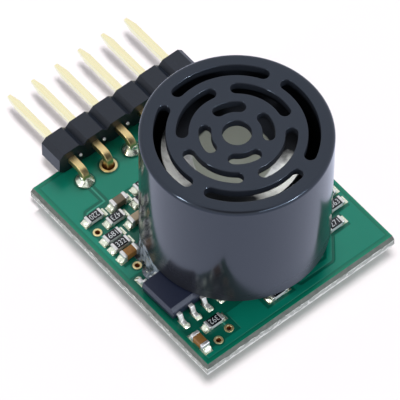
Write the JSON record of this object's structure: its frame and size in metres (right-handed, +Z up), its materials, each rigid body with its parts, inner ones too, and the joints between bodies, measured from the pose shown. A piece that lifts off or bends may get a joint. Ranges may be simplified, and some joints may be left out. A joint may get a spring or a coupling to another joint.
{
  "type": "ultrasonic range finder",
  "caption": "Small circuit board carrying one round slotted ultrasonic transducer, surface-mount parts and a right-angle row of square pins.",
  "frame": {"origin": "on the surface the part stands on, under the middle of its length and width", "axes": "+X along the pin row, +Y the way the pins leave the board, +Z up along the transducer axis, the way it faces"},
  "size_m": [0.0202, 0.0308, 0.0173],
  "materials": {
    "board_laminate": "green solder mask over glass-epoxy laminate",
    "gold_plating": "thin gold plating on copper",
    "strip_plastic": "moulded black strip",
    "pin_gold": "pale gold plated wire",
    "solder": "bright reflowed solder",
    "case_shell": "black finish, satin gloss",
    "base_plastic": "moulded",
    "tinned_wire": "tinned",
    "clear_glue": "clear hot-melt glue",
    "silicone": "soft, translucent white",
    "diaphragm_metal": "satin",
    "piezo_ceramic": "fired ceramic, silvered",
    "dish_aluminium": "pressed sheet, bright wall and satin floor",
    "fine_wire": "fine copper wire",
    "chip_epoxy": "moulded epoxy",
    "tinned_lead": "tinned copper",
    "resistor_ceramic": "white ceramic with a black coat and tinned ends",
    "capacitor_ceramic": "brown ceramic with tinned ends"
  },
  "bodies": {
    "root": {"circuit_board": "board_laminate", "plated_holes": "gold_plating", "chip_pads": "gold_plating", "strip_block": "strip_plastic", "pin_solder": "solder", "transducer_case": "case_shell", "transducer_base": "base_plastic", "terminal_front": "tinned_wire", "terminal_back": "tinned_wire", "terminal_solder": "solder", "support_ring": "silicone", "metal_plate": "diaphragm_metal", "piezo_disc": "piezo_ceramic", "resonator_dish": "dish_aluminium", "lead_wire_front": "fine_wire", "lead_wire_back": "fine_wire", "amplifier_body": "chip_epoxy", "amplifier_leads": "tinned_lead", "lead_solder": "solder", "chip_solder": "solder", "controller_body": "chip_epoxy", "controller_leads": "tinned_lead", "glue_dab": "clear_glue", "pin_1": "pin_gold", "pin_2": "pin_gold", "pin_3": "pin_gold", "pin_4": "pin_gold", "pin_5": "pin_gold", "pin_6": "pin_gold", "resistor_1": "resistor_ceramic", "resistor_2": "resistor_ceramic", "resistor_3": "resistor_ceramic", "resistor_4": "resistor_ceramic", "resistor_5": "resistor_ceramic", "resistor_6": "resistor_ceramic", "resistor_7": "resistor_ceramic", "resistor_8": "resistor_ceramic", "resistor_9": "resistor_ceramic", "resistor_10": "resistor_ceramic", "resistor_11": "resistor_ceramic", "resistor_12": "resistor_ceramic", "capacitor_1": "capacitor_ceramic", "capacitor_2": "capacitor_ceramic", "capacitor_3": "capacitor_ceramic", "capacitor_4": "capacitor_ceramic", "capacitor_5": "capacitor_ceramic", "capacitor_6": "capacitor_ceramic"}
  },
  "joints": []
}
